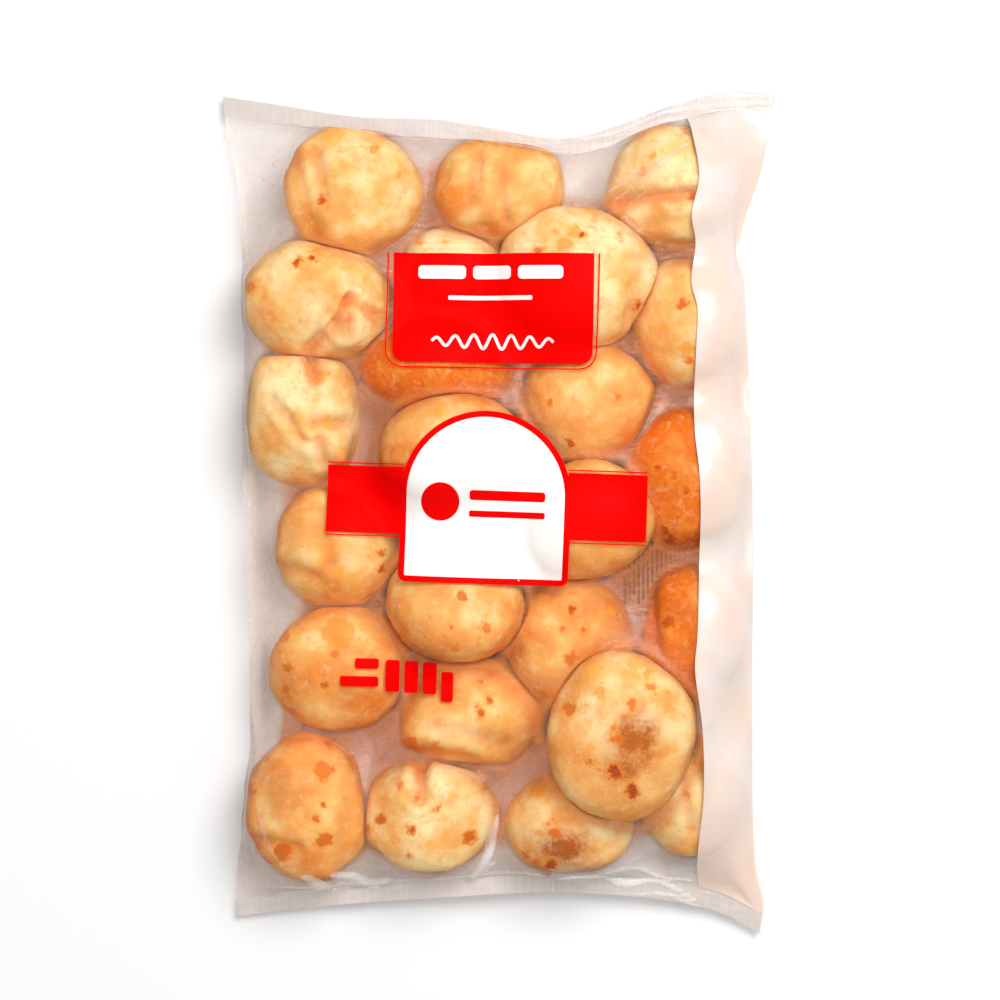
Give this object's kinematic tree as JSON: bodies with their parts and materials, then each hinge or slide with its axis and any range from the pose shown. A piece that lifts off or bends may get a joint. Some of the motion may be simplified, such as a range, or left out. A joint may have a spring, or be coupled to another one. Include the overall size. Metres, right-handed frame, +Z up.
{
  "type": "sealed bag of pao de queijo cheese balls",
  "caption": "Clear sealed pillow bag of baked pao de queijo cheese balls, lying on its back, with welded ends, a white side strip and plain red and white print fields.",
  "frame": {"origin": "on the surface that the bag lies on, under the middle of its bounding box", "axes": "+Y along the bag towards the top seal, +X across it towards the white strip, +Z up through the printed face"},
  "size_m": [0.1946, 0.2964, 0.055],
  "materials": {
    "film": "clear polyolefin film with a light frost, softly glossy on its creases",
    "white_strip": "white printed side strip of the same film, satin",
    "crust": "baked cheese bread crust: pale cream and golden, with small toasted brown blisters",
    "crumbs": "loose bread crumbs, dry and matt",
    "print_red": "flat red ink fields, satin",
    "print_white": "flat white ink fields, satin",
    "print_grey": "grey ink of small plain bars on the back film, satin"
  },
  "bodies": {
    "root": {"sealed_bag": "film"}
  },
  "joints": []
}
